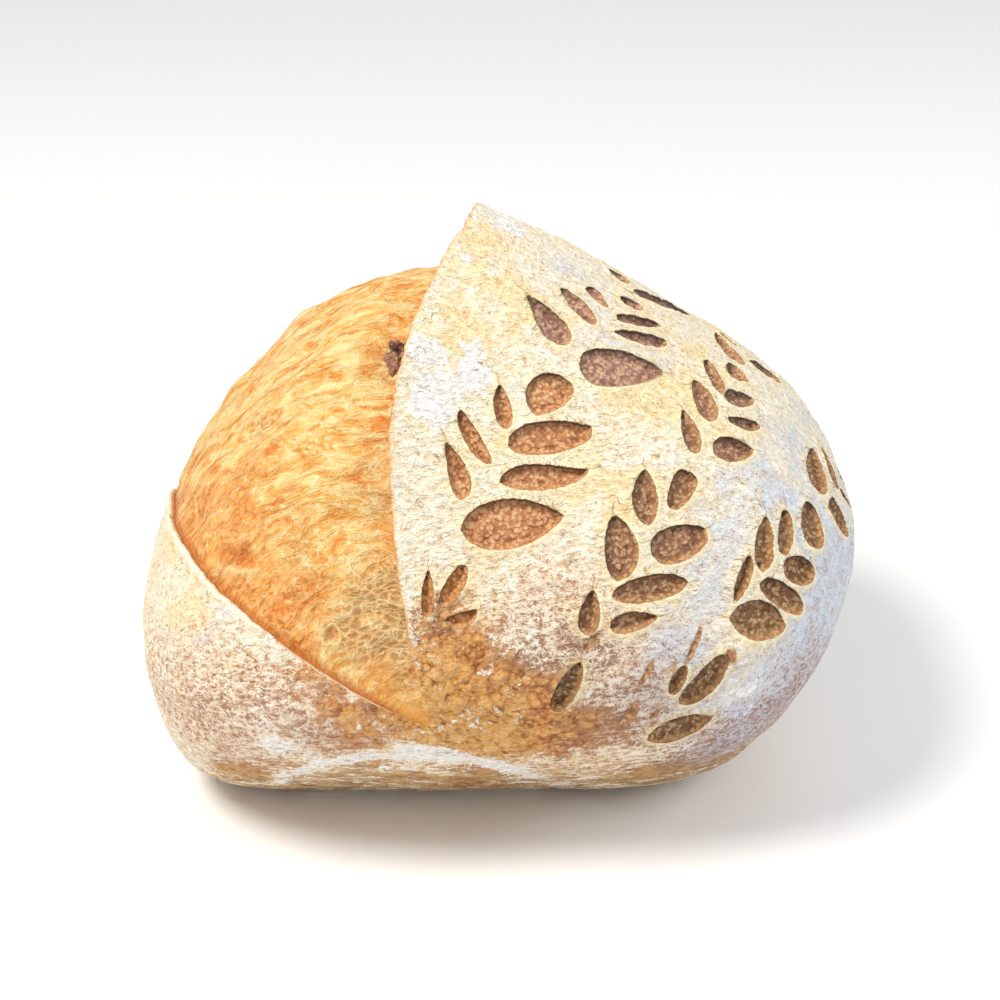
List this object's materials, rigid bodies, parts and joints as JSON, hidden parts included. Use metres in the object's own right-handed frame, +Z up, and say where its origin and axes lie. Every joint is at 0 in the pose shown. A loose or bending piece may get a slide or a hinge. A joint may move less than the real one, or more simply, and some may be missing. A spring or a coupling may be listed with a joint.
{
  "type": "sourdough loaf",
  "caption": "Round crusty sourdough loaf with one deep score, a raised ear beside burst crumb, and leaf-shaped cuts across the floured crust.",
  "frame": {"origin": "centre of the bounding box's floor rectangle, on the flat base", "axes": "+Z up, +X towards the decorated right shoulder, -Y towards the front end of the score"},
  "size_m": [0.209, 0.1939, 0.1643],
  "materials": {
    "crust": "dry baked crust under uneven white flour, dull, with brown bare patches and leaf cuts",
    "crumb": "golden stretched crumb, dull with a faint sheen on its strands"
  },
  "bodies": {
    "root": {"loaf": "crust"}
  },
  "joints": []
}
